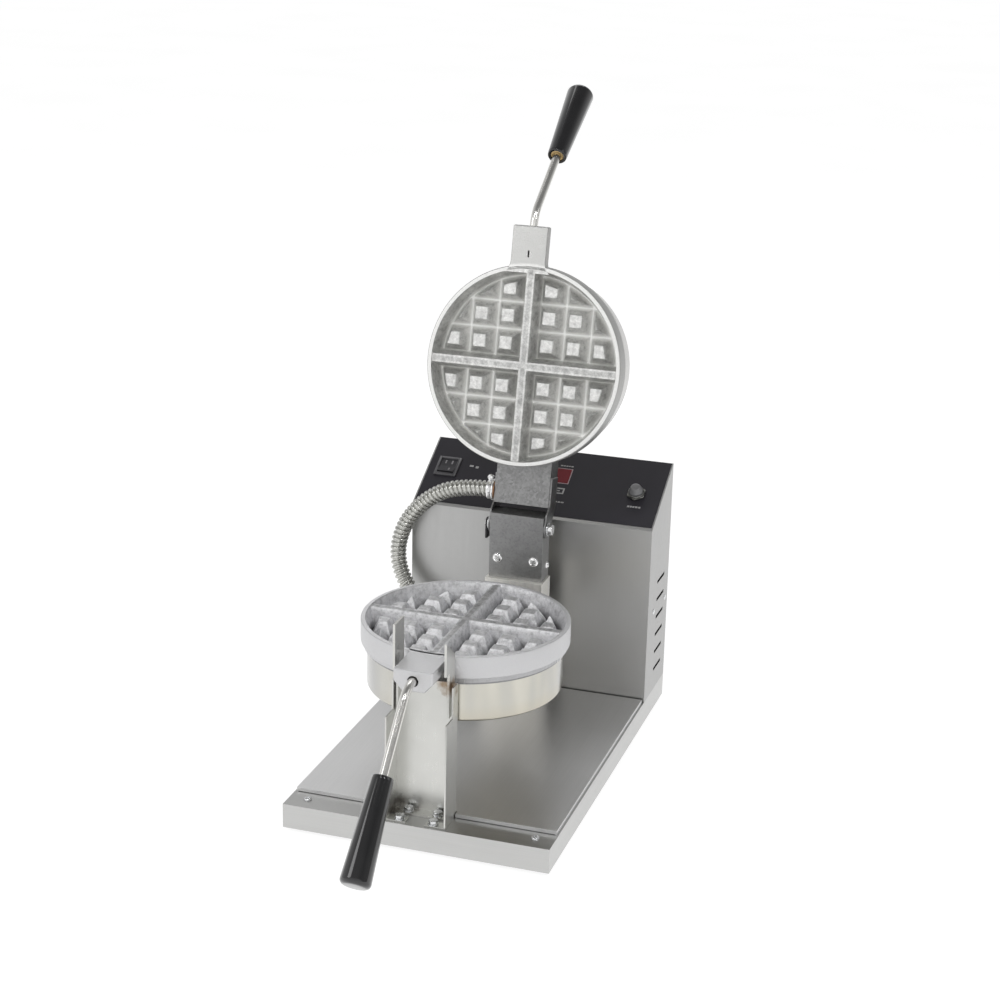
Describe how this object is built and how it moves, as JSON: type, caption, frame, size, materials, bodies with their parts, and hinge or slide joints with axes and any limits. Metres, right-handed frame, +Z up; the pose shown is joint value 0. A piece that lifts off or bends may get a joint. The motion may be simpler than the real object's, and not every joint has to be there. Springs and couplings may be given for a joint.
{
  "type": "waffle baker",
  "caption": "Counter-top round waffle baker: hinged cast grid halves on a stainless base with a rear control housing, shown open.",
  "frame": {"origin": "on the counter, under the middle of the whole machine", "axes": "+X to the operator's right, -Y towards the operator, +Z up"},
  "size_m": [0.2716, 0.6388, 0.6296],
  "materials": {
    "stainless": "brushed stainless sheet",
    "deck_steel": "satin stainless sheet",
    "galvanised": "galvanised sheet",
    "cast_aluminium": "sand-cast aluminium",
    "polished_steel": "polished stainless, heat tinted",
    "chrome": "chromed rod",
    "zinc": "zinc-plated fasteners",
    "phenolic": "glossy black phenolic",
    "brass": "brass insert",
    "rubber": "black rubber",
    "panel_film": "dark overlay film",
    "black_plastic": "moulded black plastic",
    "red_lens": "red display window",
    "board": "circuit board",
    "boot": "grey rubber boot",
    "copper_iron": "laminated core",
    "wool": "ceramic wool",
    "mica": "mica heater",
    "terminal": "pale nylon"
  },
  "bodies": {
    "base": {"base_pan": "stainless", "bottom_cover": "galvanised", "rubber_feet": "rubber", "feet_screws": "zinc", "pan_screws": "zinc", "deck_plate": "deck_steel", "housing_shell": "stainless", "side_rivets": "zinc", "housing_rear_cover": "stainless", "rear_cover_screws": "zinc", "inlet_gland": "black_plastic", "control_overlay": "panel_film", "power_switch_body": "black_plastic", "display_window": "red_lens", "display_module": "board", "start_button_bushing": "zinc", "start_button_spring": "zinc", "board_standoffs": "brass", "control_board": "board", "buzzer": "black_plastic", "transformer": "copper_iron", "power_relay": "black_plastic", "terminal_block": "terminal", "front_stand": "stainless", "stand_bolts": "zinc", "rear_post": "stainless", "rear_post_screws": "zinc", "hinge_bracket": "galvanised", "bracket_screws": "zinc", "bracket_side_screws": "zinc", "hinge_pin": "zinc", "hinge_washers": "zinc", "pin_push_nut": "black_plastic", "conduit": "galvanised", "conduit_connector_lower": "zinc", "lower_grid": "cast_aluminium", "lower_shell": "polished_steel", "lower_heater": "mica", "lower_clamp_plate": "galvanised", "lower_insulation": "wool", "lower_sensor": "zinc", "lower_centre_bolt": "zinc", "lower_arm_box": "galvanised", "lower_handle_rod": "chrome", "lower_grip": "phenolic", "lower_grip_insert": "brass"},
    "lid": {"upper_grid": "cast_aluminium", "upper_shell": "polished_steel", "upper_heater": "mica", "upper_clamp_plate": "galvanised", "upper_insulation": "wool", "upper_sensor": "zinc", "upper_centre_bolt": "zinc", "upper_arm_box": "galvanised", "upper_handle_rod": "chrome", "upper_grip": "phenolic", "upper_grip_insert": "brass", "conduit_connector_upper": "zinc"},
    "rocker": {"power_rocker": "black_plastic"},
    "button": {"start_button": "boot"}
  },
  "joints": [
    {"name": "lid_hinge", "type": "hinge", "parent": "base", "child": "lid", "pos_m": [0, 0.1248, 0.2156], "axis": [1, 0, 0], "range_deg": [0, 102.2], "deforming": ["conduit"]},
    {"name": "rocker_tilt", "type": "hinge", "parent": "base", "child": "rocker", "pos_m": [-0.105, 0.20998, 0.23994], "axis": [1, 0, 0], "range_deg": [0, 16]},
    {"name": "button_press", "type": "slide", "parent": "base", "child": "button", "axis": [0, 0.4953, -0.8687], "range_m": [0, 0.003], "stiffness_N_per_m": 500, "springref_m": -0.001, "deforming": ["start_button_spring"]}
  ]
}
